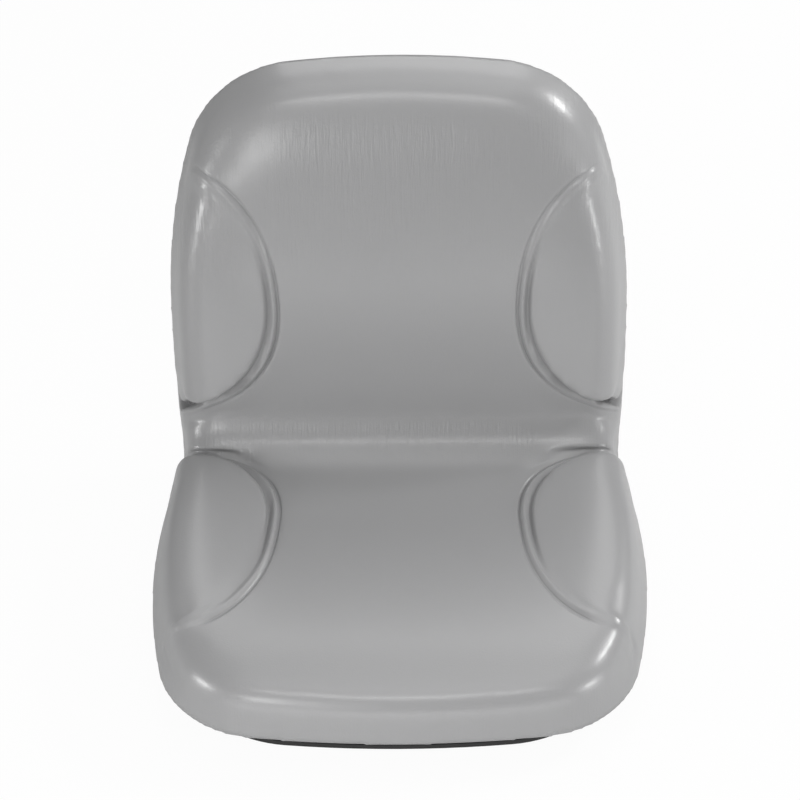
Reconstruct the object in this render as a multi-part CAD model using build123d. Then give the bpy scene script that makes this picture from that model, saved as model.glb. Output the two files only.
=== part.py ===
from build123d import *
import os
from math import cos, hypot, radians, sin, tan

# High-back bucket seat for a tractor: one vinyl-skinned foam cushion in a pressed steel pan.
# Millimetres. Origin at the centre of the four mounting bolts, on the plane of the pads.
# +Z is up, the sitter faces -Y.

# Driving dimensions of the seat as a whole
recline = 12.0             # lean of the back from upright, degrees
front_reach = 228.0        # front edge ahead of the bolt centre
corner_reach = 175.0       # where the seat rim line meets the back rim line, behind the bolt centre
back_length = 464.0        # back cushion measured up the back from that corner
seat_half = 248.0          # half width at the seat bolsters
back_half = 232.0          # half width at the back bolsters
waist_half = 227.0         # half width of the strip between the bolsters
waist_blend = 30.0         # easing of the outline where it reaches the waist

# Outline of the seat cushion seen from above
front_bulge = 21.0         # how far the front edge bows forward
front_corner = 110.0       # plan radius of the front corners
front_half = 216.0         # half width the sides run to at the front
seat_wide_y = -5.0         # where the seat is widest
seat_waist_y = 135.0       # where the seat has narrowed to the waist

# Outline of the back cushion seen square to the back
top_bulge = 17.0           # how far the top edge bows upward
top_corner = 120.0         # radius of the top corners
top_half = 181.0           # half width the sides run to at the top
back_wide_v = 185.0        # height up the back where it is widest
back_waist_v = 40.0        # height up the back where it has narrowed to the waist

# Cushion section
side_draft = 13.0          # lean of the cushion walls, degrees
crest_radius = 26.0        # roll of the upper edges
turn_radius = 8.0          # roll of the lower edge where the skin turns under
seat_front_rise = 60.0     # seat panel above the rim at the front
seat_rear_rise = 48.0      # seat panel above the rim at the rear
seat_crown = 11.0          # bow of the seat panel from front to rear
back_low_rise = 42.0       # back panel ahead of the back rim at its foot
back_top_rise = 46.0       # back panel ahead of the back rim at the top
back_crown = 24.0          # lumbar bow of the back panel
bight_radius = 52.0        # hollow where seat and back meet
strip_roll = 14.0          # roll at the ends of the waist strip

# Side bolsters: D-shaped pads with a sloping inner face
panel_half = 127.0         # half width of the panel at the narrowest
bolster_reach = 100.0      # how far the D reaches in from the side of the seat
step_height = 11.0         # inner edge of a bolster above the panel at the waist end
bolster_tip = 4.0          # crest left above the panel at the tip
bolster_edge = 3.5         # rounding along the D
bolster_rise = 20.0        # bolster crest above the panel at the waist end
bolster_proud = 4.0        # bolster outside the waist strip at its end
crest_inner = 186.0        # where the sloping face meets the crest, from the middle
crest_sweep = 60.0         # easing between the sloping face and the crest
bolster_roll = 20.0        # rounding of the outer crest
seat_d_middle = 15.0       # Y of the seat bolster's innermost point
seat_d_waist = 88.0        # from there to its waist end
seat_d_tip = 154.0         # from there to its front tip
back_d_middle = 222.0      # height of the back bolster's innermost point
back_d_waist = 112.0       # from there to its waist end
back_d_tip = 154.0         # from there to its upper tip

# Pressed steel pan
sheet = 2.0                # steel thickness
tray_depth = 28.0          # floor below the rim
pan_half = 212.0           # half width of the flange
pan_front_gap = 7.5        # flange behind the cushion's front edge
pan_top_gap = 16.0         # flange below the cushion's top edge
pan_front_corner = 115.0   # plan radius of the flange's front corners
pan_top_corner = 150.0     # radius of its top corners
flange = 12.0              # width of the rim flange
tray_slope = 32.0          # lean of the tray's side walls, degrees
front_run = 46.0           # run of the tray's sloping front wall
top_run = 24.0             # run of its sloping top wall
pan_bend = 30.0            # radius of the rim line where seat turns into back
floor_roll = 9.0           # radius between the floor and the walls

# Mounting pads, nuts and openings
bolt_x = 286.0             # bolt spacing side to side
bolt_y = 203.0             # bolt spacing front to rear
bolt_hole = 4.5            # hole radius
pad_depth = 6.0            # pads pressed below the floor
pad_width = 48.0
pad_front = 116.0          # pad ends ahead of and behind the bolt centre
pad_rear = 140.0
pad_corner = 18.0
nut_flats = 13.0           # nut width across flats
nut_height = 6.0
nut_bore = 4.25
pocket_radius = 11.0       # foam pocket over a nut
bolt_room = 26.0           # and its depth
drain_hole = 6.0
drain_x = 90.0
drain_y = 60.0
switch_x = 46.0            # opening for the sitter switch
switch_y = 30.0
switch_corner = 6.0
switch_at = 0.0            # its middle behind the bolt centre
switch_room = 26.0         # depth of the foam pocket over it
switch_margin = 5.0        # that pocket around the opening
field_x = 250.0            # pressed field that stiffens the back
field_y = 220.0
field_middle = 250.0       # its middle, up the back
field_corner = 40.0
field_depth = 5.0

# Edge trim and working clearances
trim_lip = 1.6
trim_cover = 8.0
trim_slack = 0.2
fit = 0.3                  # clearance between the cushion and its neighbours

# Working values
far = 900.0                # longer than the seat in any direction
same_way = 0.99            # cosine above which two directions count as one
crosswise = 0.01           # and below which they count as square
near = 1.0                 # distance within which an edge lies on a plane
bight_spread = 1.9         # strip of the bight kept around the corner, in bight radii

rim_height = tray_depth + pad_depth    # pan rim above the mounting plane

up = Vector(0, sin(radians(recline)), cos(radians(recline)))
ahead = Vector(0, -cos(radians(recline)), sin(radians(recline)))
back_plane = Plane(origin=(0, corner_reach, rim_height), x_dir=(1, 0, 0), z_dir=ahead)
side_plane = Plane.YZ


def seat_outline(inset, half_wide, half_front, half_waist, front, bulge, corner):
    """Plan of the seat, open-ended to the rear."""
    start = (half_front - inset, front + inset + bulge)
    wide = (half_wide - inset, seat_wide_y)
    waist = (half_waist - inset, seat_waist_y)
    edge = ThreePointArc((0, front + inset), bow_middle(start, front + inset), start)
    side = TangentArc(wide, start, tangent=(0, -1))
    hip = TangentArc(wide, waist, tangent=(0, 1))
    rear = Polyline(waist, (waist[0], far), (0, far), (0, front + inset))
    face = make_face([edge, side, hip, rear])
    at = face.vertices().sort_by_distance((start[0], start[1], 0))[0]
    half = fillet(at, corner - inset)
    bend = half.vertices().sort_by_distance((waist[0], waist[1], 0))[0]
    half = fillet(bend, waist_blend + inset)
    return half + mirror(half, Plane.YZ)


def bow_middle(end, level):
    """Point half way along a shallow bow from the centre line to its end."""
    return (end[0] / 2, level + (end[1] - level) / 4)


def back_outline(inset, half_wide, half_top, half_waist, top, bulge, corner):
    """Outline of the back on its rim plane, open-ended downward."""
    start = (half_top - inset, top - inset - bulge)
    wide = (half_wide - inset, back_wide_v)
    waist = (half_waist - inset, back_waist_v)
    edge = ThreePointArc((0, top - inset), bow_middle(start, top - inset), start)
    side = TangentArc(wide, start, tangent=(0, 1))
    hip = TangentArc(wide, waist, tangent=(0, -1))
    foot = Polyline(waist, (waist[0], -far), (0, -far), (0, top - inset))
    face = make_face([edge, side, hip, foot])
    at = face.vertices().sort_by_distance((start[0], start[1], 0))[0]
    half = fillet(at, corner - inset)
    bend = half.vertices().sort_by_distance((waist[0], waist[1], 0))[0]
    half = fillet(bend, waist_blend + inset)
    return half + mirror(half, Plane.YZ)


def cushion_seat_outline(inset):
    return seat_outline(inset, seat_half, front_half, waist_half, -front_reach, front_bulge, front_corner)


def cushion_back_outline(inset):
    return back_outline(inset, back_half, top_half, waist_half, back_length, top_bulge, top_corner)


def line_corner(seat_rise, back_rise):
    """Where a line above the seat rim meets a line ahead of the back rim."""
    z = rim_height + seat_rise
    y = corner_reach + seat_rise * tan(radians(recline)) - back_rise / cos(radians(recline))
    return (y, z)


def back_point(v, rise):
    """Side-view point at a height up the back and a distance ahead of its rim."""
    return (
        corner_reach + v * up.Y + rise * ahead.Y,
        rim_height + v * up.Z + rise * ahead.Z,
    )


def panel_seat_arc():
    front = (-front_reach - crest_radius, rim_height + seat_front_rise)
    rear = (corner_reach, rim_height + seat_rear_rise)
    middle = ((front[0] + rear[0]) / 2, (front[1] + rear[1]) / 2 + seat_crown)
    return front, middle, rear


def panel_back_arc():
    low = back_point(0, back_low_rise)
    top = back_point(back_length + crest_radius, back_top_rise)
    mid_rise = (back_low_rise + back_top_rise) / 2 + back_crown
    middle = back_point((back_length + crest_radius) / 2, mid_rise)
    return low, middle, top


def seat_block():
    """Seat half of the cushion: drafted walls under the bowed seat panel, upper edges rolled."""
    height = seat_front_rise * 2
    lean = height * tan(radians(side_draft))
    base = Pos(0, 0, rim_height) * cushion_seat_outline(0)
    crown = Pos(0, 0, rim_height + height) * cushion_seat_outline(lean)
    body = loft([base, crown], ruled=True)
    front, middle, rear = panel_seat_arc()
    side = make_face([
        ThreePointArc(front, middle, rear),
        Polyline(rear, (rear[0], 0), (front[0], 0), front),
    ])
    body = body & extrude(side_plane * side, far / 2, both=True)
    top = body.faces().filter_by(GeomType.CYLINDER).sort_by(SortBy.AREA)[-1]
    limit = corner_reach - near
    rolled = [e for e in top.edges() if e.center().Y < limit]
    body = fillet(rolled, crest_radius)
    floor = body.faces().sort_by(Axis.Z)[0]
    turned = [e for e in floor.edges() if e.center().Y < limit]
    return fillet(turned, turn_radius)


def back_block():
    """Back half of the cushion: drafted walls behind the lumbar bow, front edges rolled."""
    depth = (back_low_rise + back_crown) * 2
    lean = depth * tan(radians(side_draft))
    base = cushion_back_outline(0)
    crown = Pos(0, 0, depth) * cushion_back_outline(lean)
    body = loft([base, crown], ruled=True)
    low = (0, back_low_rise)
    top = (back_length + crest_radius, back_top_rise)
    middle = (top[0] / 2, (low[1] + top[1]) / 2 + back_crown)
    side = make_face([
        ThreePointArc(low, middle, top),
        Polyline(top, (top[0], 0), (0, 0), low),
    ])
    body = body & extrude(side_plane * side, far / 2, both=True)
    panel = body.faces().filter_by(GeomType.CYLINDER).sort_by(SortBy.AREA)[-1]
    rolled = [e for e in panel.edges() if e.center().Y > near]
    body = fillet(rolled, crest_radius)
    rear = body.faces().sort_by(Axis.Z)[0]
    turned = [e for e in rear.edges() if e.center().Y > near]
    return back_plane * fillet(turned, turn_radius)


def side_profile():
    """Side view of the seat and back panels, with the hollow of the bight between them."""
    front, middle, rear = panel_seat_arc()
    seat = make_face([
        ThreePointArc(front, middle, rear),
        Polyline(rear, (rear[0], 0), (front[0], 0), front),
    ])
    low, lumbar, top = panel_back_arc()
    heel = back_point(back_length + crest_radius, 0)
    back = make_face([
        ThreePointArc(low, lumbar, top),
        Polyline(top, heel, (corner_reach, rim_height), low),
    ])
    return seat, back


def bight_strip():
    """Strip between the bolsters: the hollow of the bight, run out to both sides."""
    seat, back = side_profile()
    whole = seat + back
    at = line_corner(seat_rear_rise, back_low_rise)
    corner = whole.vertices().sort_by_distance((at[0], at[1], 0))[0]
    whole = fillet(corner, bight_radius)
    spot = Pos(corner.X, corner.Y) * Circle(bight_radius * bight_spread)
    strip = extrude(side_plane * (whole & spot), waist_half - strip_roll, both=True)
    hollow = strip.faces().filter_by(GeomType.CYLINDER)
    hollow = [f for f in hollow if abs(f.radius - bight_radius) < crosswise][0]
    ends = [e for e in hollow.edges() if abs(e.center().X) > waist_half / 2]
    return fillet(ends, strip_roll)


def d_plan(middle, to_waist, to_tip, way):
    """D outline of a right-hand bolster: two quarter ellipses, closed beyond the side."""
    above, below = (to_tip, to_waist) if way > 0 else (to_waist, to_tip)
    centre = (panel_half + bolster_reach, middle)
    outer = centre[0] + bolster_reach
    upper = EllipticalCenterArc(centre, bolster_reach, above, 90, arc_size=90)
    lower = EllipticalCenterArc(centre, bolster_reach, below, 180, arc_size=90)
    box = Polyline(
        (centre[0], middle - below),
        (outer, middle - below),
        (outer, middle + above),
        (centre[0], middle + above),
    )
    return make_face([upper, lower, box])


def bolster(envelope, rise_waist, rise_tip, middle, to_waist, to_tip, way):
    """One right-hand side pad on its own flat: a D in plan, sloping up from panel to crest."""
    at_waist = middle - way * to_waist
    at_tip = middle + way * to_tip
    crest = rise_waist + bolster_rise
    inner = panel_half / 2
    slope = (bolster_rise - step_height) / (crest_inner - panel_half)
    inner_top = crest - slope * (crest_inner - inner)
    face = make_face(Polyline(
        (inner, 0),
        (inner, inner_top),
        (crest_inner, crest),
        (far, crest),
        (far, 0),
        close=True,
    ))
    bend = face.vertices().sort_by_distance((crest_inner, crest, 0))[0]
    face = fillet(bend, crest_sweep)
    fall = (rise_tip + bolster_tip - crest) / (at_tip - at_waist)
    past = bolster_roll * 2
    start = at_waist - way * past
    run = at_tip + way * past - start
    stand = Plane(origin=(0, start, (start - at_waist) * fall), x_dir=(1, 0, 0), z_dir=(0, -1, 0))
    line = Vector(0, run, run * fall)
    bar = extrude(stand * face, line.length, dir=line.normalized())
    column = Pos(0, 0, turn_radius) * extrude(d_plan(middle, to_waist, to_tip, way), far)
    pad = bar & column & envelope
    top = [f for f in pad.faces() if f.normal_at().Z > same_way]
    crest_edge = max((e for f in top for e in f.edges()), key=lambda e: e.center().X)
    pad = fillet(crest_edge, bolster_roll)
    low = pad.bounding_box().min.Z
    rounded = [e for e in d_wall_edges(pad) if e.center().Z > low + step_height]
    return fillet(rounded, bolster_edge)


def d_wall_edges(pad):
    """Edges of the upright wall that follows the inner side of the D."""
    upright = [f for f in pad.faces() if abs(f.normal_at().Z) < crosswise]
    walls = [f for f in upright if f.normal_at().X < same_way]
    seen = []
    for wall in walls:
        for edge in wall.edges():
            level = abs(edge.tangent_at(0.5).Z) < same_way
            if level or edge.center().X > panel_half + bolster_reach:
                seen.append(edge)
    return seen


def seat_envelope():
    """Drafted volume of the seat cushion before it narrows to the waist."""
    height = seat_front_rise * 2
    lean = height * tan(radians(side_draft))
    rear_half = waist_half + bolster_proud
    low, high = [
        Pos(0, 0, rise) * seat_outline(
            inset, seat_half, front_half, rear_half, -front_reach, front_bulge, front_corner)
        for rise, inset in ((0, 0), (height, lean))
    ]
    return loft([low, high], ruled=True)


def back_envelope():
    """Drafted volume of the back cushion before it narrows to the waist."""
    depth = (back_low_rise + back_crown) * 2
    lean = depth * tan(radians(side_draft))
    foot_half = waist_half + bolster_proud
    low, high = [
        Pos(0, 0, rise) * back_outline(
            inset, back_half, top_half, foot_half, back_length, top_bulge, top_corner)
        for rise, inset in ((0, 0), (depth, lean))
    ]
    return loft([low, high], ruled=True)


def panel_rise_seat(y):
    front, middle, rear = panel_seat_arc()
    share = (y - front[0]) / (rear[0] - front[0])
    chord = seat_front_rise + (seat_rear_rise - seat_front_rise) * share
    return chord + seat_crown * 4 * share * (1 - share)


def panel_rise_back(v):
    share = v / (back_length + crest_radius)
    chord = back_low_rise + (back_top_rise - back_low_rise) * share
    return chord + back_crown * 4 * share * (1 - share)


def bolsters():
    seat = Pos(0, 0, rim_height) * bolster(
        seat_envelope(),
        panel_rise_seat(seat_d_middle + seat_d_waist),
        panel_rise_seat(seat_d_middle - seat_d_tip),
        seat_d_middle, seat_d_waist, seat_d_tip, -1)
    back = back_plane * bolster(
        back_envelope(),
        panel_rise_back(back_d_middle - back_d_waist),
        panel_rise_back(back_d_middle + back_d_tip),
        back_d_middle, back_d_waist, back_d_tip, 1)
    return [seat, back, mirror(seat, Plane.YZ), mirror(back, Plane.YZ)]


def line_face(low, high):
    """Side view of the space between two lines that follow the pan's rim at given distances."""
    def ends(rise):
        y, z = line_corner(rise, rise)
        front = (-far, z)
        top = (y + far * up.Y, z + far * up.Z)
        return front, (y, z), top
    a, b, c = ends(low)
    d, e, f = ends(high)
    face = make_face(Polyline(a, b, c, f, e, d, close=True))
    outer = face.vertices().sort_by_distance((b[0], b[1], 0))[0]
    face = fillet(outer, pan_bend - low)
    if high >= pan_bend:
        return face
    inner = face.vertices().sort_by_distance((e[0], e[1], 0))[0]
    return fillet(inner, pan_bend - high)


def rounded_end(half, reach, bulge, corner):
    """Plan of a straight-sided plate with a bowed, round-cornered end, open the other way."""
    start = (half, bulge - reach)
    edge = ThreePointArc((0, -reach), bow_middle(start, -reach), start)
    sides = Polyline(start, (half, far), (0, far), (0, -reach))
    face = make_face([edge, sides])
    at = face.vertices().sort_by_distance((start[0], start[1], 0))[0]
    quarter = fillet(at, corner)
    return quarter + mirror(quarter, Plane.YZ)


def seat_reach():
    return front_reach - pan_front_gap


def back_reach():
    return back_length - pan_top_gap


def pan_outline(inset):
    """Volume within the pan's outline, square to the seat and square to the back."""
    seat = rounded_end(
        pan_half - inset, seat_reach() - inset, front_bulge, pan_front_corner - inset)
    back = rounded_end(
        pan_half - inset, back_reach() - inset, top_bulge, pan_top_corner - inset)
    seat_column = extrude(seat, far, both=True)
    back_column = back_plane * extrude(Rot(0, 0, 180) * back, far, both=True)
    return seat_column & back_column


def rim_plate(low, high, inset):
    """Strip of plate that follows the rim from the front edge up to the top."""
    band = extrude(side_plane * line_face(low, high), far / 2, both=True)
    return band & pan_outline(inset)


def tray_end(reach, run, bulge, corner, inset, rise):
    """Sloping end wall of the tray with its rounded corners, square to its own rim."""
    side_wall = inset / cos(radians(tray_slope))
    end_wall = inset * hypot(1, run / tray_depth)
    sections = []
    for depth in (-rise, tray_depth - inset):
        lean = depth * tan(radians(tray_slope))
        half = pan_half - flange - side_wall - lean
        to_end = reach - flange - end_wall - depth * run / tray_depth
        round_corner = corner - flange - end_wall - lean
        sections.append(Pos(0, 0, -depth) * rounded_end(half, to_end, bulge, round_corner))
    end = loft(sections, ruled=True)
    return end + extrude(sections[0], far)


def tray(inset, rise):
    """Filled volume of the pan's tray, drawn in by an inset, up to a height above the rim."""
    wall = inset / cos(radians(tray_slope))
    lower = tray_depth - inset
    halves = [pan_half - flange - wall - d * tan(radians(tray_slope)) for d in (-rise, lower)]
    corner = line_corner(0, 0)
    foot = (0, -far, rim_height)
    top = (0, corner[0] + far * up.Y, corner[1] + far * up.Z)
    path = FilletPolyline(foot, (0, corner[0], corner[1]), top, radius=pan_bend)
    start = Plane(origin=foot, x_dir=(1, 0, 0), z_dir=(0, 1, 0))
    section = make_face(Polyline(
        (-halves[0], -rise),
        (halves[0], -rise),
        (halves[1], lower),
        (-halves[1], lower),
        close=True,
    ))
    body = sweep(start * section, path=path)
    seat = tray_end(seat_reach(), front_run, front_bulge, pan_front_corner, inset, rise)
    back = tray_end(back_reach(), top_run, top_bulge, pan_top_corner, inset, rise)
    body = body & (Pos(0, 0, rim_height) * seat)
    body = body & (back_plane * (Rot(0, 0, 180) * back))
    body = fillet(floor_edges(body), floor_roll - inset)
    return body + pads(inset) - field(inset)


def floor_edges(body):
    """Edges where the floor of the tray, under the seat and behind the back, meets the walls."""
    floor = []
    for face in body.faces():
        flat = face.geom_type == GeomType.PLANE
        if flat and min(face.normal_at().Z, face.normal_at().dot(ahead)) < -same_way:
            floor.append(face)
        if face.geom_type == GeomType.CYLINDER and face.normal_at().Z < 0:
            floor.append(face)
    edges = [edge for face in floor for edge in face.edges()]
    return [edge for edge in edges if sum(edge.is_same(other) for other in edges) == 1]


def rounded_block(x, y, corner, low, high, lean):
    """Block with rounded upright edges and sides that lean outward by as much as they rise."""
    base = Pos(0, 0, low) * RectangleRounded(x, y, corner)
    grow = 2 * (high - low) * lean
    top = Pos(0, 0, high) * RectangleRounded(x + grow, y + grow, corner + grow / 2)
    return loft([base, top], ruled=True)


def pads(inset):
    """The two mounting pads pressed down out of the floor."""
    edge = inset * 2 ** 0.5
    shift = 2 * (inset - edge)
    length = pad_front + pad_rear
    block = rounded_block(
        pad_width + shift, length + shift, pad_corner, inset, pad_depth + inset + fit, 1)
    middle = (pad_rear - pad_front) / 2
    return [Pos(side * bolt_x / 2, middle) * block for side in (-1, 1)]


def field(inset):
    """Field pressed forward out of the back of the tray to stiffen it."""
    grow = 2 * inset * (2 ** 0.5 - 1)
    low = inset - tray_depth
    block = rounded_block(
        field_x + grow, field_y + grow, field_corner, low - fit, low + field_depth, -1)
    return back_plane * (Pos(0, field_middle) * block)


def bolt_spots():
    return [(x * bolt_x / 2, y * bolt_y / 2) for x in (-1, 1) for y in (-1, 1)]


def seat_pan():
    flange_plate = rim_plate(-sheet, 0, 0)
    body = flange_plate + tray(0, 0) - tray(sheet, sheet)
    for x, y in bolt_spots():
        body = body - Pos(x, y, 0) * Cylinder(bolt_hole, far / 10)
    for x in (-drain_x, drain_x):
        for y in (-drain_y, drain_y):
            body = body - Pos(x, y, 0) * Cylinder(drain_hole, far / 10)
    slot = RectangleRounded(switch_x, switch_y, switch_corner)
    return body - Pos(0, switch_at, 0) * extrude(slot, tray_depth)


def edge_trim():
    """U-section trim over the edge of the flange, all the way round."""
    outer = rim_plate(-sheet - trim_slack - trim_lip, trim_slack + trim_lip, -trim_slack - trim_lip)
    opening = pan_outline(trim_cover)
    slot = rim_plate(-sheet - trim_slack, trim_slack, -trim_slack)
    return outer - opening - slot


def weld_nuts():
    nut = extrude(RegularPolygon(nut_flats / 2, 6, major_radius=False), nut_height)
    nut = nut - Cylinder(nut_bore, nut_height * 4)
    return Compound([Pos(x, y, sheet) * nut for x, y in bolt_spots()])


def cushion():
    body = seat_block() + back_block()
    body = body + bight_strip()
    for pad in bolsters():
        body = body + pad
    seat_level = trim_slack + trim_lip + fit
    body = body & extrude(side_plane * line_face(seat_level, far / 2), far / 2, both=True)
    body = body + tray(sheet + fit, trim_lip * 2 + fit)
    pocket = Cylinder(pocket_radius, bolt_room, align=(Align.CENTER, Align.CENTER, Align.MIN))
    for x, y in bolt_spots():
        body = body - Pos(x, y, 0) * pocket
    room = Box(
        switch_x + 2 * switch_margin, switch_y + 2 * switch_margin, switch_room,
        align=(Align.CENTER, Align.CENTER, Align.MIN))
    return body - Pos(0, switch_at, 0) * room


os.makedirs("parts", exist_ok=True)
export_step(seat_pan(), "parts/seat_pan.step")
export_step(edge_trim(), "parts/edge_trim.step")
export_step(weld_nuts(), "parts/weld_nuts.step")
export_step(cushion(), "parts/cushion.step")
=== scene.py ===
# %% [markdown]
# # A high-back tractor seat
# The seat is one grey vinyl cushion in a black steel pan. The skin is drawn over a former and the
# foam is bonded to it, so there is no seam anywhere: all the relief is pressed into one surface.
# This lesson loads the engineering model as a fixed frame and dresses it for the picture.

# %% Load the engineering model
import math

import bmesh
import bpy
import numpy as np
from mathutils import Matrix, Vector
from mathutils.bvhtree import BVHTree


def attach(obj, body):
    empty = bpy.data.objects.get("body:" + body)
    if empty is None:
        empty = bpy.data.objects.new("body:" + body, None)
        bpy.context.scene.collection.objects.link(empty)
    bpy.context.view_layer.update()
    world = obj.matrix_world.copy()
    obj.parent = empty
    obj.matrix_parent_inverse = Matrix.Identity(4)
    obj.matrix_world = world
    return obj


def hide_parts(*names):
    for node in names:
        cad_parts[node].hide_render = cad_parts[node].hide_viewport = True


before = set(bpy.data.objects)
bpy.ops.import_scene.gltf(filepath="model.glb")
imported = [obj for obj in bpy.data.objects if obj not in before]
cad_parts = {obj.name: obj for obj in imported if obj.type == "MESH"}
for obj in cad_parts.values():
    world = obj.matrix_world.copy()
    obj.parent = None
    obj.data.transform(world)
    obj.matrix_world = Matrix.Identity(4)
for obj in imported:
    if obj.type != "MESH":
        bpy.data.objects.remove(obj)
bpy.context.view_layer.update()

# %% [markdown]
# ## The seat's own directions
# The seat half lies level, the back half leans. A point on the cushion is easier to describe by how
# far it stands off the seat's rim, or how far up the back it lies and how far ahead of the back's rim.
# These few sizes repeat the engineering model's, in metres.

# %% Directions and D-shaped bolsters
RECLINE = math.radians(12)
RIM = 0.034
CORNER = 0.175
UP_BACK = np.array((0, math.sin(RECLINE), math.cos(RECLINE)))
AHEAD = np.array((0, -math.cos(RECLINE), math.sin(RECLINE)))
D_CENTRE = 0.227
D_REACH = 0.100
SEAT_D = dict(middle=0.015, waist=0.088, tip=0.154, way=-1)
BACK_D = dict(middle=0.222, waist=0.112, tip=0.154, way=1)
BOLSTER_LEVEL = 0.062
SIDE_SLOPE = 0.6      # round the side wall the lower end of the back bolsters slopes down to the rear


def seat_coordinates(points):
    """Height over the seat rim, height up the back and distance ahead of the back rim."""
    offset = points - np.array((0, CORNER, RIM))
    return offset[:, 2], offset @ UP_BACK, offset @ AHEAD


def ease(value, start, end):
    """Smooth step from 0 at start to 1 at end."""
    t = np.clip((value - start) / (end - start), 0, 1)
    return t * t * (3 - 2 * t)


def d_distance(across, along, middle, waist, tip, way):
    """Distance outside a bolster's D, place on it (1 tip, 0 inmost, -1 waist) and the way out of it."""
    dx = np.minimum(np.abs(across) - D_CENTRE, -1e-6) / D_REACH
    da = (along - middle) * way
    reach = np.where(da > 0, tip, waist)
    da = da / reach
    out = np.hypot(dx, da)
    slope = np.hypot(dx / D_REACH, da / reach)
    return (out - 1) * out / slope, da, np.sign(across) * dx / D_REACH / slope, way * da / reach / slope


def nearest_d(points):
    """The same for whichever D a point belongs to: seat below the bisector, back above."""
    rise, up_back, ahead = seat_coordinates(points)
    around_side = np.maximum(BOLSTER_LEVEL - ahead, 0) * ease(np.abs(points[:, 0]), 0.185, 0.205)
    on_seat = rise < ahead
    seat = d_distance(points[:, 0], points[:, 1], **SEAT_D)
    back = d_distance(points[:, 0], up_back + SIDE_SLOPE * around_side, **BACK_D)
    return [np.where(on_seat, s, b) for s, b in zip(seat, back)] + [on_seat]


# %% [markdown]
# ## The cushion's even skin
# A vacuum-formed skin has no hard edges. The engineering solid has: its bolsters stand up from the
# panel with a wall. A voxel remesh turns the solid into one even net of small quads, and relaxing that
# net rounds every edge at once. A cloth simulation would blow the skin off its foam, which
# here is bonded to it, so the net is shaped by moving its points instead. The voxels cut the sharp lower
# edge unevenly, so the points there are put back on the solid, to run along the pan in one clean line.

# %% Remesh and relax the cushion
VOXEL = 0.005
EVEN_OUT = (0.5, -0.52) * 22    # a pull in and a push out, so the net evens out without shrinking
NEAR_PAN = (0.016, 0.034)       # full and no hold on the solid, as heights over the pan's rim


def mesh_points(mesh):
    flat = np.empty(len(mesh.vertices) * 3)
    mesh.vertices.foreach_get("co", flat)
    return flat.reshape(-1, 3)


def mesh_normals(mesh):
    flat = np.empty(len(mesh.vertices) * 3)
    mesh.vertex_normals.foreach_get("vector", flat)
    return flat.reshape(-1, 3)


def new_piece(name, mesh):
    piece = bpy.data.objects.new(name, mesh)
    bpy.context.scene.collection.objects.link(piece)
    return piece


def even_copy(node, name, voxel):
    """Closed copy of a node with even quads."""
    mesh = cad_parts[node].data.copy()
    bm = bmesh.new()
    bm.from_mesh(mesh)
    bmesh.ops.remove_doubles(bm, verts=bm.verts, dist=1e-6)
    bm.to_mesh(mesh)
    bm.free()
    piece = new_piece(name, mesh)
    remesh = piece.modifiers.new("even net", "REMESH")
    remesh.mode = "VOXEL"
    remesh.voxel_size = voxel
    shaped = piece.evaluated_get(bpy.context.evaluated_depsgraph_get())
    piece.data = bpy.data.meshes.new_from_object(shaped)
    piece.data.name = name
    piece.modifiers.clear()
    return piece


def relax(mesh, pulls, weight=1.0):
    """Moves each point towards the middle of its neighbours, once for every share in pulls."""
    points = mesh_points(mesh)
    pairs = np.empty(len(mesh.edges) * 2, dtype=int)
    mesh.edges.foreach_get("vertices", pairs)
    ends = np.concatenate((pairs, pairs.reshape(-1, 2)[:, ::-1].ravel())).reshape(-1, 2)
    count = np.bincount(ends[:, 0], minlength=len(points))
    weight = np.broadcast_to(weight, len(points))[:, None]
    for pull in pulls:
        total = np.stack([
            np.bincount(ends[:, 0], points[ends[:, 1], axis], len(points)) for axis in range(3)], axis=1)
        points = points + pull * weight * (total / count[:, None] - points)
    mesh.vertices.foreach_set("co", points.ravel())
    mesh.update()


def back_to_solid(mesh, node, weight):
    """Moves each point towards the nearest point of a node's surface, by its weight."""
    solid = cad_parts[node].data
    tree = BVHTree.FromPolygons([v.co for v in solid.vertices], [f.vertices for f in solid.polygons])
    points = mesh_points(mesh)
    for index in np.flatnonzero(weight):
        nearest = np.array(tree.find_nearest(points[index])[0])
        points[index] += weight[index] * (nearest - points[index])
    mesh.vertices.foreach_set("co", points.ravel())
    mesh.update()


cushion = even_copy("cushion", "vinyl_cushion", VOXEL)
relax(cushion.data, EVEN_OUT)
rise, up_back, ahead = seat_coordinates(mesh_points(cushion.data))
back_to_solid(cushion.data, "cushion", 1 - ease(np.minimum(rise, ahead), *NEAR_PAN))
print("cushion net:", len(cushion.data.vertices), "points")

# %% [markdown]
# ## Pillowed panels
# Foam also makes the panels themselves full. The back falls away towards its upper rim, and
# the seat rolls down towards its front edge like a waterfall. Both are one smooth sink that starts
# well inside the edge, measured from a rounded box that follows the panel's outline. The outer sides of
# the bolsters roll down too. Every sink fades to nothing at the pan's rim.

# %% Pillow the back and the seat
UPPER_BACK = (0.26, 0.40)
TOP_CORNERS = (0.34, 0.42)
FRONT_HALF = (0.06, 0.18)
FRONT_CORNERS = (0.10, 0.18)
BACK_FULL = 0.055
SEAT_FULL = 0.070
BACK_PILLOW = dict(middle=0.250, half=(0.196, 0.196), corner=0.120, start=-0.085, sink=0.011)
SEAT_PILLOW = dict(middle=0.000, half=(0.226, 0.214), corner=0.100, start=-0.085, sink=0.007)
SIDE_ROLL = 0.060
SIDE_SINK = 0.008
ROW = 0.01            # the outline's half width is measured in rows this long
ROW_START = -0.3
ROWS = 100


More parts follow.
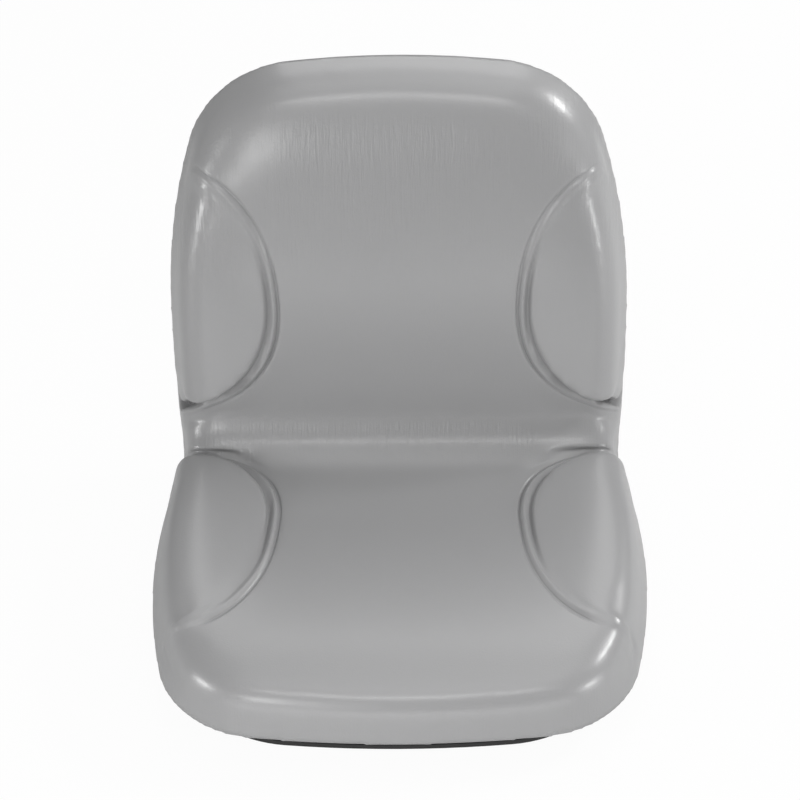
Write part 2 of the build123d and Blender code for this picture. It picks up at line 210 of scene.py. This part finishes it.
def inside_box(across, along, half, corner):
    """Distance outside a rounded box, negative within; the box has no end on its near side."""
    dx = np.abs(across) - half[0] + corner
    da = along - half[1] + corner
    return np.hypot(np.maximum(dx, 0), np.maximum(da, 0)) + np.minimum(np.maximum(dx, da), 0) - corner


def pillow(across, along, middle, half, corner, start, sink):
    near_edge = np.clip(1 - inside_box(across, along - middle, half, corner) / start, 0, 1.3)
    return sink * near_edge ** 2


def side_roll(across, along, chosen):
    """Sink of the outer side of the bolsters, which starts well inside the outline's half width."""
    rows = np.clip(((along - ROW_START) / ROW).astype(int), 0, ROWS - 1)
    half = np.zeros(ROWS)
    np.maximum.at(half, rows[chosen], np.abs(across[chosen]))
    half = np.interp(along, (np.arange(ROWS) + 0.5) * ROW + ROW_START, half)
    return SIDE_SINK * np.clip(1 - (half - np.abs(across)) / SIDE_ROLL, 0, 1) ** 2


points = mesh_points(cushion.data)
rise, up_back, ahead = seat_coordinates(points)
on_seat = rise < ahead
back_sink = pillow(points[:, 0], up_back, **BACK_PILLOW) * ease(up_back, *UPPER_BACK)
back_sink += side_roll(points[:, 0], up_back, ~on_seat) * (1 - ease(up_back, *TOP_CORNERS))
back_sink *= np.clip(ahead / BACK_FULL, 0, 1)
seat_sink = pillow(points[:, 0], -points[:, 1], **SEAT_PILLOW) * ease(-points[:, 1], *FRONT_HALF)
seat_sink += side_roll(points[:, 0], points[:, 1], on_seat) * (1 - ease(-points[:, 1], *FRONT_CORNERS))
seat_sink *= np.clip(rise / SEAT_FULL, 0, 1)
points = points - np.where(on_seat, 0, back_sink)[:, None] * AHEAD
points[:, 2] -= np.where(on_seat, seat_sink, 0)
cushion.data.vertices.foreach_set("co", points.ravel())
cushion.data.update()
deepest = [round(float(sink.max()) * 1000, 1) for sink in (back_sink, seat_sink)]
print("back and seat pillowed by up to", deepest, "mm")

# %% [markdown]
# ## The waist
# Between the bolsters the strip of the bight runs out to the sides almost as wide as the bolsters.
# Evening out the net drew it in, so it is pushed out again, most at the hollow and fading up the back.

# %% Push out the waist
WAIST_PUSH = 0.0045
WAIST_MIDDLE = np.array((0.140, 0.100))
WAIST_SPREAD = 0.030
WAIST_SIDES = (0.15, 0.20)

points = mesh_points(cushion.data)
from_waist = np.hypot(points[:, 1] - WAIST_MIDDLE[0], points[:, 2] - WAIST_MIDDLE[1])
push = WAIST_PUSH * np.exp(-(from_waist / WAIST_SPREAD) ** 2) * ease(np.abs(points[:, 0]), *WAIST_SIDES)
points[:, 0] += np.sign(points[:, 0]) * push
cushion.data.vertices.foreach_set("co", points.ravel())
cushion.data.update()
print("waist pushed out by up to", round(float(push.max()) * 1000, 1), "mm")

# %% [markdown]
# ## Soft crests
# Foam rounds every crest far more than the solid does. Relaxing again, this time without
# the push back out, rolls the front edge, the rim of the back and the tops of the bolsters. The points
# beside a bolster's D are left out, because its step has to stay short. The lower edge is evened by
# itself, in and out again, so that it keeps its place on the pan's rim.

# %% Roll the crests
ROLL_OVER = (0.5,) * 17
LOWER_EDGE = (0.5, -0.52) * 9
BESIDE_D = (0.010, 0.030)
OFF_RIM = (0.014, 0.030)
ON_RIM = (0.008, 0.024)

points = mesh_points(cushion.data)
gap = nearest_d(points)[0]
rise, up_back, ahead = seat_coordinates(points)
free = ease(np.abs(gap), *BESIDE_D) * ease(np.minimum(rise, ahead), *OFF_RIM)
relax(cushion.data, ROLL_OVER, free)
relax(cushion.data, LOWER_EDGE, 1 - ease(np.minimum(rise, ahead), *ON_RIM))
moved = np.linalg.norm(mesh_points(cushion.data) - points, axis=1)
print("crests rolled by up to", round(float(moved.max()) * 1000, 1), "mm")

# %% [markdown]
# ## Finer net along the bolsters
# The groove round a bolster is only a few millimetres wide, so the net needs smaller quads there. The
# edges within reach of a D are split twice, and the new points are relaxed so that no facet shows.

# %% Split the net beside each D
NEAR_D = (0.024, 0.014)
VISIBLE_RISE = 0.012
SOFTEN = (0.5,) * 5


def shown_side(points):
    """Points that stand off the pan's rim, where the skin can be seen."""
    rise, up_back, ahead = seat_coordinates(points)
    return np.minimum(rise, ahead) > VISIBLE_RISE


for reach in NEAR_D:
    points = mesh_points(cushion.data)
    gap = nearest_d(points)[0]
    chosen = (np.abs(gap) < reach) & shown_side(points)
    bm = bmesh.new()
    bm.from_mesh(cushion.data)
    bm.verts.ensure_lookup_table()
    edges = [e for e in bm.edges if chosen[e.verts[0].index] and chosen[e.verts[1].index]]
    bmesh.ops.subdivide_edges(bm, edges=edges, cuts=1, use_grid_fill=True)
    bm.to_mesh(cushion.data)
    bm.free()
    points = mesh_points(cushion.data)
    gap = nearest_d(points)[0]
    relax(cushion.data, SOFTEN, ((np.abs(gap) < reach + VOXEL) & shown_side(points)).astype(float))
    print("split within", reach, "m:", len(cushion.data.vertices), "points")

# %% [markdown]
# ## Valley, bead and line
# Each bolster is edged by a rounded bead that follows its D. A soft valley parts the bead from the
# bolster, and a fine line parts it from the panel. The valley fades towards the pointed tip, where the
# bead narrows and runs into the bolster, and opens into a gap at the waist. Moving each point along
# its normal by a sum of bell curves draws all three. The distances are kept for the material, which
# paints the valley and the fine line darker as painted shade.

# %% Press the valley and raise the bead
VALLEY_DEPTH = 0.0032
VALLEY_WIDTH = 0.0028
GAP_DEPTH = 0.008
BEAD_HEIGHT = 0.0024
BEAD_WIDTH = 0.0030
LINE_AT = 0.0100
LINE_DEPTH = 0.0012
LINE_WIDTH = 0.0020
RELIEF_RISE = (0.008, 0.020)


def bell(value, centre, width):
    return np.exp(-((value - centre) / width) ** 2)


points = mesh_points(cushion.data)
normals = mesh_normals(cushion.data)
gap, place, out_x, out_along, on_seat = nearest_d(points)
rise, up_back, ahead = seat_coordinates(points)
shown = ease(np.minimum(rise, ahead), *RELIEF_RISE)
at_waist = ease(-place, 0.55, 1.0)
before_tip = 1 - ease(place, 0.88, 1.0)
line_at = LINE_AT * (1 - 0.2 * ease(place, 0.2, 1.0))
valley = bell(gap, 0.0, VALLEY_WIDTH + 0.0008 * at_waist) * (1 - ease(place, 0.0, 0.6)) * shown
at_tip = ease(place, 0.2, 0.8)
bead = bell(gap, line_at * (0.5 - 0.35 * at_tip), BEAD_WIDTH * (1 + 0.3 * at_tip))
bead *= before_tip * (1 - 0.45 * at_tip) * (1 - 0.5 * at_waist) * shown
line_share = before_tip * (1 - 0.4 * ease(place, 0.0, 0.5)) * (1 - 0.8 * at_waist) * shown
line = bell(gap, line_at, LINE_WIDTH) * line_share
lift = BEAD_HEIGHT * bead - LINE_DEPTH * line - (VALLEY_DEPTH + GAP_DEPTH * at_waist) * valley
points = points + normals * lift[:, None]
cushion.data.vertices.foreach_set("co", points.ravel())
for name, values in (("valley", valley), ("line_share", line_share), ("from_line", gap - line_at)):
    cushion.data.attributes.new(name, "FLOAT", "POINT").data.foreach_set("value", values)
lowest, highest = [round(float(end) * 1000, 2) for end in (lift.min(), lift.max())]
print("valley: deepest", lowest, "mm, bead", highest, "mm")

# %% [markdown]
# ## The Ds as they are drawn
# On the finished seat the Ds are fuller towards the waist and more drawn in at the tip than plain
# half ellipses. The relief is slid along the surface, outwards or inwards from each D, by a
# smooth curve through a few measured places. It fades with the distance from the D and ends at the bight.

# %% Slide the relief
PLACES = (-1, -0.8, -0.6, -0.4, 0, 0.4, 0.6, 0.8, 0.9, 1)
SEAT_SLIDE = (0.008, 0.011, 0.008, 0.004, -0.003, -0.0043, -0.006, -0.008, -0.011, -0.013)
BACK_SLIDE = (0.009, 0.009, 0.005, 0.002, -0.0004, -0.0034, -0.004, -0.0046, -0.010, -0.014)
SLIDE_CENTRE = 0.004
SLIDE_FADE = (0.008, 0.036)
SLIDE_RISE = (0.012, 0.030)
BIGHT_FADE = (0.0, 0.014)

along_curve = np.clip(place, -1, 1)
seat_slide, back_slide = [
    np.polynomial.Polynomial.fit(PLACES, slide, 5)(along_curve) for slide in (SEAT_SLIDE, BACK_SLIDE)]
slide = np.where(on_seat, seat_slide, back_slide)
slide *= 1 - ease(np.abs(gap - SLIDE_CENTRE), *SLIDE_FADE)
slide *= ease(np.minimum(rise, ahead), *SLIDE_RISE) * ease(np.abs(ahead - rise), *BIGHT_FADE)
points[:, 0] += slide * out_x
points += (slide * out_along)[:, None] * np.where(on_seat[:, None], (0, 1, 0), UP_BACK)
cushion.data.vertices.foreach_set("co", points.ravel())
cushion.data.update()
print("relief slid by", round(float(slide.min()) * 1000, 1), "to", round(float(slide.max()) * 1000, 1), "mm")

# %% [markdown]
# ## Room for the pan
# Below its lower edge the cushion sits inside the pan and is never seen. Relaxing fills the inner
# corners there by a hair, so the hidden points are drawn in a little to keep clear of steel and trim.

# %% Draw in the hidden side
HIDDEN_INSET = 0.0012
HIDDEN_RISE = (0.003, 0.008)

points = mesh_points(cushion.data)
normals = mesh_normals(cushion.data)
rise, up_back, ahead = seat_coordinates(points)
hidden = 1 - ease(np.minimum(rise, ahead), *HIDDEN_RISE)
points = points - normals * (HIDDEN_INSET * hidden)[:, None]
cushion.data.vertices.foreach_set("co", points.ravel())
cushion.data.shade_smooth()
print("hidden points drawn in:", int((hidden > 0).sum()))

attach(cushion, "root")
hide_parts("cushion")

# %% [markdown]
# ## A small shader vocabulary
# A material is a graph of nodes. Wrapping a socket in a class with operators lets the maths be
# written as plain expressions, and one method adds every other node with its settings and inputs.

# %% Shader helpers


class Value:
    """A node's output that can be used in sums; each operation adds a Math node."""

    def __init__(self, finish, socket):
        self.finish = finish
        self.socket = socket

    def math(self, operation, first, second):
        return self.finish.node("ShaderNodeMath", {"operation": operation}, {0: first, 1: second})

    def __add__(self, other):
        return self.math("ADD", self, other)

    def __radd__(self, other):
        return self.math("ADD", other, self)

    def __sub__(self, other):
        return self.math("SUBTRACT", self, other)

    def __rsub__(self, other):
        return self.math("SUBTRACT", other, self)

    def __mul__(self, other):
        return self.math("MULTIPLY", self, other)

    def __rmul__(self, other):
        return self.math("MULTIPLY", other, self)


class Finish:
    """A material under construction."""

    def __init__(self, name):
        self.material = bpy.data.materials.new(name)
        self.material.use_nodes = True
        self.tree = self.material.node_tree
        self.tree.nodes.clear()

    def node(self, kind, settings=None, sockets=None, out=0):
        """Adds a node, sets its settings first, then fills or links its inputs."""
        made = self.tree.nodes.new(kind)
        for key, setting in (settings or {}).items():
            setattr(made, key, setting)
        for key, given in (sockets or {}).items():
            if isinstance(given, Value):
                self.tree.links.new(given.socket, made.inputs[key])
            else:
                made.inputs[key].default_value = given
        return Value(self, made.outputs[out]) if made.outputs else made

    def place(self):
        return self.node("ShaderNodeTexCoord", out="Object")

    def stretched(self, scale):
        return self.node("ShaderNodeMapping", {}, {"Vector": self.place(), "Scale": scale})

    def noise(self, where, scale, detail=2.0, roughness=0.5, distortion=0.0):
        return self.node("ShaderNodeTexNoise", {}, {
            "Vector": where, "Scale": scale, "Detail": detail,
            "Roughness": roughness, "Distortion": distortion})

    def step(self, value, start, end):
        return self.node(
            "ShaderNodeMapRange", {"interpolation_type": "SMOOTHSTEP"},
            {"Value": value, "From Min": start, "From Max": end})

    def mix(self, share, first, second):
        return self.node(
            "ShaderNodeMix", {"data_type": "RGBA"}, {0: share, 6: first, 7: second}, out=2)

    def bump(self, height, depth, strength=1.0):
        return self.node(
            "ShaderNodeBump", {}, {"Height": height, "Distance": depth, "Strength": strength})

    def surface(self, **sockets):
        """Principled shader to the output; underscores stand for the spaces in socket names."""
        inputs = {key.replace("_", " "): given for key, given in sockets.items()}
        shader = self.node("ShaderNodeBsdfPrincipled", {}, inputs)
        self.node("ShaderNodeOutputMaterial", {}, {"Surface": shader})
        return self.material


# %% [markdown]
# ## Grey vinyl
# The vinyl is a neutral grey with a satin shine. Its grain is a net of tiny pores about a millimetre
# apart. Where the skin was drawn hardest, over the upper back, the front edge and the bight,
# fine creases run across the pull. All of it is relief, so it goes into the bump, with a slight change
# in gloss. A thin clear coat over the grain gives the crisp highlights. The valley and the fine line
# beside each bolster are also painted darker, as painted shade, and the grey varies a little at random.

# %% Vinyl material
VINYL_GREY = (0.29, 0.29, 0.293, 1)
# painted shade for the valley and the fine line beside each bolster, also used for a faint random mottle
VINYL_CREASE_SHADE_AND_MOTTLE = (0.17, 0.17, 0.173, 1)
PORE_DEPTH = 0.00013
WRINKLE_DEPTH = 0.0011
FINE_LINE_DEPTH = 0.0008
FINE_LINE_REACH = 0.0022


def vinyl():
    made = Finish("grey_vinyl")
    where = made.place()
    x, y, z = [
        made.node("ShaderNodeSeparateXYZ", {}, {"Vector": where}, out=axis) for axis in ("X", "Y", "Z")]
    valley, line_share, from_line = [
        made.node("ShaderNodeAttribute", {"attribute_name": name}, out="Fac")
        for name in ("valley", "line_share", "from_line")]
    fine_line = (1 - made.step(from_line * from_line, 0.0, FINE_LINE_REACH ** 2)) * line_share
    grain = made.noise(where, 900, 3.0, 0.6)
    pores = made.node(
        "ShaderNodeTexVoronoi", {"feature": "SMOOTH_F1"}, {"Vector": where, "Scale": 600, "Smoothness": 0.4})
    cloud = made.noise(where, 9, 2.0)
    upright = made.noise(made.stretched((1, 0.08, 0.08)), 380, 2.0, 0.6, 0.5)
    crackle = made.noise(made.stretched((0.35, 1, 1)), 220, 3.0, 0.65)
    upper_back = made.step(z, 0.24, 0.34) * (1 - made.step(z, 0.44, 0.475))
    bight = (1 - made.step((z - 0.108) * (z - 0.108), 0.00005, 0.0004)) * made.step(y, 0.09, 0.12)
    front_edge = made.step(y * -1, 0.175, 0.200)
    drawn = (upper_back + bight + front_edge * 0.35) * (0.3 + made.step(cloud, 0.35, 0.6) * 0.7)
    relief = (grain * 0.4 + pores * 0.6) * PORE_DEPTH
    relief = relief + (upright * 0.6 + crackle * 0.4) * drawn * WRINKLE_DEPTH - fine_line * FINE_LINE_DEPTH
    patchy = made.noise(where, 40, 3.0)
    # The valley and the fine line are painted darker: painted shade in the grooves. The cloud adds a faint
    # random tone.
    tone = made.mix(valley * 0.45 + fine_line * 0.5 + cloud * 0.08, VINYL_GREY, VINYL_CREASE_SHADE_AND_MOTTLE)
    return made.surface(
        Base_Color=tone,
        Roughness=0.29 + patchy * 0.08,
        Specular_IOR_Level=0.5,
        Coat_Weight=0.16,
        Coat_Roughness=0.2,
        Normal=made.bump(relief, 1.0, 0.8),
    )


cushion.data.materials.clear()
cushion.data.materials.append(vinyl())
print("vinyl:", len(cushion.data.materials[0].node_tree.nodes), "nodes")

# %% [markdown]
# ## Pan, trim and nuts
# The pan has a baked black powder coat with a fine orange peel. The trim over its edge is a matt
# extruded rubber, faintly mottled, and the nuts are bright zinc on steel.

# %% Hard materials


def powder_coat():
    made = Finish("black_powder_coat")
    where = made.place()
    peel = made.noise(where, 420, 2.0)
    patchy = made.noise(where, 30, 3.0)
    tone = made.mix(patchy * 0.6, (0.012, 0.012, 0.013, 1), (0.022, 0.022, 0.023, 1))
    return made.surface(
        Base_Color=tone, Roughness=0.42 + patchy * 0.12, Normal=made.bump(peel, 0.00015, 0.4))


def trim_rubber():
    made = Finish("black_trim_rubber")
    where = made.place()
    skin = made.noise(where, 900, 2.0)
    patchy = made.noise(where, 60, 2.0)
    tone = made.mix(patchy, (0.008, 0.008, 0.008, 1), (0.016, 0.016, 0.016, 1))
    return made.surface(
        Base_Color=tone, Roughness=0.62 + patchy * 0.12, Normal=made.bump(skin, 0.0001, 0.3))


def zinc():
    made = Finish("zinc_plate")
    where = made.place()
    spangle = made.noise(where, 260, 3.0)
    tone = made.mix(spangle, (0.50, 0.50, 0.48, 1), (0.66, 0.66, 0.63, 1))
    return made.surface(
        Base_Color=tone, Metallic=1.0, Roughness=0.32 + spangle * 0.2, Normal=made.bump(spangle, 0.0001, 0.3))


for node, finish in (("seat_pan", powder_coat), ("edge_trim", trim_rubber), ("weld_nuts", zinc)):
    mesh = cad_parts[node].data
    mesh.materials.clear()
    mesh.materials.append(finish())
    print(node, "wears", mesh.materials[0].name)

# %% [markdown]
# ## Floor, light and camera
# The picture is a plain studio shot: white ground, soft light from above and in front, and a long
# lens looking down on the seat. The ground answers camera rays mostly with plain white,
# so it stays white without more light on the seat, and still takes a little of its shadow.

# %% White ground
GROUND_WHITE = 0.96
GROUND_SIZE = 60.0
GROUND_BELOW = 0.0005     # a hair under the mounting pads, so the two faces never share a plane

bm = bmesh.new()
bmesh.ops.create_grid(
    bm, x_segments=1, y_segments=1, size=GROUND_SIZE, matrix=Matrix.Translation((0, 0, -GROUND_BELOW)))
ground_mesh = bpy.data.meshes.new("ground")
bm.to_mesh(ground_mesh)
bm.free()
ground = new_piece("ground", ground_mesh)

paper = Finish("white_ground")
seen = paper.node("ShaderNodeLightPath", out="Is Camera Ray")
matt = paper.node("ShaderNodeBsdfDiffuse", {}, {"Color": (0.65, 0.65, 0.65, 1)})
glow = paper.node("ShaderNodeEmission", {}, {"Color": (1, 1, 1, 1), "Strength": 1.0})
paper.node("ShaderNodeOutputMaterial", {}, {"Surface": paper.node(
    "ShaderNodeMixShader", {}, {0: seen * GROUND_WHITE, 1: matt, 2: glow})})
ground_mesh.materials.append(paper.material)
print("ground:", GROUND_SIZE * 2, "m square")

# %% Soft light
AIM = Vector((0.003, 0.0285, 0.251))
SKY_STRENGTH = 0.12


def softbox(name, place, size, power):
    light = bpy.data.lights.new(name, "AREA")
    light.shape = "RECTANGLE"
    light.size, light.size_y = size
    light.energy = power
    lamp = bpy.data.objects.new(name, light)
    lamp.location = place
    lamp.rotation_euler = (AIM - Vector(place)).to_track_quat("-Z", "Y").to_euler()
    lamp.visible_camera = False
    bpy.context.scene.collection.objects.link(lamp)
    return lamp


softbox("top_box", (0.15, 0.0, 2.7), (2.4, 1.8), 21)
softbox("front_box", (0.0, -1.75, 2.25), (1.5, 0.3), 16)
softbox("left_box", (-0.75, -2.15, 0.8), (0.35, 0.5), 10.5)
softbox("left_side_box", (-1.96, -0.9, 0.45), (0.5, 0.3), 15)
softbox("right_low_box", (1.85, -1.05, 0.4), (0.4, 0.3), 11)
softbox("right_box", (1.9, 0.6, 1.55), (0.6, 0.35), 30)
softbox("rear_box", (0.2, 1.9, 2.3), (2.2, 1.2), 26)
softbox("front_card", (0.0, -0.62, 0.03), (1.0, 0.12), 1.0)
world = bpy.data.worlds.new("studio")
bpy.context.scene.world = world
world.use_nodes = True
sky = world.node_tree.nodes["Background"]
sky.inputs["Color"].default_value = (1, 1, 1, 1)
sky.inputs["Strength"].default_value = SKY_STRENGTH
bpy.context.scene.view_settings.view_transform = "Standard"

# %% Camera
ELEVATION = math.radians(43.0)
YAW = math.radians(-1.2)
ROLL = math.radians(-1.15)
DISTANCE = 3.2
FOCAL_PIXELS = 3324.7
IMAGE_SIZE = 800
SENSOR = 36.0

forward = Vector((
    math.sin(YAW) * math.cos(ELEVATION), math.cos(YAW) * math.cos(ELEVATION), -math.sin(ELEVATION)))
right = forward.cross(Vector((0, 0, 1))).normalized()
above = right.cross(forward)
turned_right = right * math.cos(ROLL) + above * math.sin(ROLL)
turned_above = above * math.cos(ROLL) - right * math.sin(ROLL)
lens = bpy.data.cameras.new("long_lens")
lens.sensor_width = SENSOR
lens.lens = SENSOR * FOCAL_PIXELS / IMAGE_SIZE
camera = bpy.data.objects.new("camera", lens)
camera.matrix_world = Matrix.Translation(AIM - forward * DISTANCE) @ Matrix(
    (turned_right, turned_above, -forward)).transposed().to_4x4()
bpy.context.scene.collection.objects.link(camera)
bpy.context.scene.camera = camera
print("camera: lens", round(lens.lens, 1), "mm, at", [round(v, 3) for v in camera.location])
